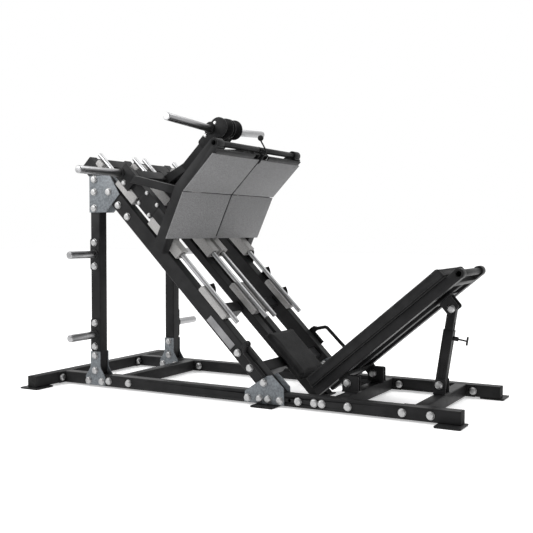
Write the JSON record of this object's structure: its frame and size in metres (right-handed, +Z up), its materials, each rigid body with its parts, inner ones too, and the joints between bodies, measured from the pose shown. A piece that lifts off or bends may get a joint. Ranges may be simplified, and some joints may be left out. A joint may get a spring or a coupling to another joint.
{
  "type": "leg press machine",
  "caption": "Leg press machine with two independent sliding footplates on 45 degree guide rods, plate horns, a low seat and an adjustable long backrest",
  "frame": {"origin": "bottom centre of the machine on the floor, midway between the two carriages", "axes": "+X from the weight end to the backrest, +Y to the right of a seated user facing the footplates, +Z up"},
  "size_m": [2.894, 1.784, 1.784],
  "materials": {
    "frame_black": "satin",
    "gusset_grey": "satin",
    "bolt_zinc": "satin",
    "horn_chrome": "gloss",
    "rod_chrome": "gloss",
    "block_aluminium": "matte",
    "bush_plastic": "matte",
    "plate_grey": "matte",
    "rubber_black": "matte",
    "cap_plastic": "matte",
    "label_grey": "satin",
    "cushion_black": "satin",
    "board_black": "matte",
    "pin_black": "satin"
  },
  "bodies": {
    "frame": {"base_crossmembers": "frame_black", "beam_cross_ties": "frame_black", "floor_pivot_brackets": "frame_black", "floor_pivot_pins": "bolt_zinc", "foot_plates": "frame_black", "foot_rubber_pads": "rubber_black", "frame_bolts": "bolt_zinc", "frame_end_caps": "cap_plastic", "frame_gussets": "gusset_grey", "guide_rods": "rod_chrome", "handle_brackets": "frame_black", "inner_beams": "frame_black", "label_plate": "label_grey", "outer_beams": "frame_black", "rear_crossmember": "frame_black", "rod_supports": "block_aluminium", "safety_racks": "frame_black", "seat_cushion": "cushion_black", "seat_plate": "board_black", "side_rails": "frame_black", "storage_horn_flanges": "frame_black", "storage_horns": "horn_chrome", "uprights": "frame_black"},
    "left_carriage": {"left_bearing_blocks": "block_aluminium", "left_carriage_bolts": "bolt_zinc", "left_carriage_frame": "frame_black", "left_footplate_bars": "frame_black", "left_footplates": "plate_grey", "left_horn_brackets": "frame_black", "left_inner_arm": "frame_black", "left_linear_bushes": "bush_plastic", "left_loading_horns": "horn_chrome", "left_outer_arm": "frame_black", "left_rear_brace": "frame_black", "left_top_tube": "frame_black"},
    "right_carriage": {"right_bearing_blocks": "block_aluminium", "right_carriage_bolts": "bolt_zinc", "right_carriage_frame": "frame_black", "right_footplate_bars": "frame_black", "right_footplates": "plate_grey", "right_horn_brackets": "frame_black", "right_inner_arm": "frame_black", "right_linear_bushes": "bush_plastic", "right_loading_horns": "horn_chrome", "right_outer_arm": "frame_black", "right_rear_brace": "frame_black", "right_top_tube": "frame_black"},
    "coupling_lever": {"coupling_lever": "pin_black", "lever_knob": "cap_plastic"},
    "backrest": {"backrest_cushion": "cushion_black", "backrest_board": "board_black", "backrest_frame": "frame_black", "backrest_top_bar": "frame_black", "strut_top_pin": "bolt_zinc"},
    "strut_lower": {"strut_lower_tube": "frame_black"},
    "strut_inner": {"strut_inner_tube": "frame_black"},
    "pop_pin": {"pop_pin": "pin_black"},
    "left_handle": {"left_safety_handle": "pin_black"},
    "right_handle": {"right_safety_handle": "pin_black"}
  },
  "joints": [
    {"name": "left_carriage_slide", "type": "slide", "parent": "frame", "child": "left_carriage", "axis": [0.7071, 0, -0.7071], "range_m": [-0.14, 0.245]},
    {"name": "right_carriage_slide", "type": "slide", "parent": "frame", "child": "right_carriage", "axis": [0.7071, 0, -0.7071], "range_m": [-0.14, 0.245]},
    {"name": "coupling_lever_hinge", "type": "hinge", "parent": "left_carriage", "child": "coupling_lever", "pos_m": [-0.066, 0, 1.568], "axis": [0, 1, 0], "range_deg": [-25, 5]},
    {"name": "backrest_recline", "type": "hinge", "parent": "frame", "child": "backrest", "pos_m": [0.667, 0, 0.138], "axis": [0, -1, 0], "range_deg": [-8, 6]},
    {"name": "strut_swing", "type": "hinge", "parent": "frame", "child": "strut_lower", "pos_m": [1.171, 0, 0.14], "axis": [0, -1, 0], "range_deg": [-10, 7.5]},
    {"name": "strut_extension", "type": "slide", "parent": "strut_lower", "child": "strut_inner", "axis": [0.1457, 0, 0.9893], "range_m": [-0.0705, 0.0535]},
    {"name": "pop_pin_pull", "type": "slide", "parent": "strut_lower", "child": "pop_pin", "axis": [0.9893, 0, -0.1457], "range_m": [0, 0.012], "stiffness_N_per_m": 400, "springref_m": -0.01},
    {"name": "left_safety_handle_hinge", "type": "hinge", "parent": "frame", "child": "left_handle", "pos_m": [0.12053, -0.4805, 0.36318], "axis": [0, 1, 0], "range_deg": [-60, 0]},
    {"name": "right_safety_handle_hinge", "type": "hinge", "parent": "frame", "child": "right_handle", "pos_m": [0.12053, 0.4805, 0.36318], "axis": [0, 1, 0], "range_deg": [-10, 15]}
  ],
  "couplings": [
    {"joint": "strut_swing", "follows": "backrest_recline", "ratio": 1.2},
    {"joint": "strut_extension", "follows": "backrest_recline", "m_per_rad": 0.497}
  ]
}
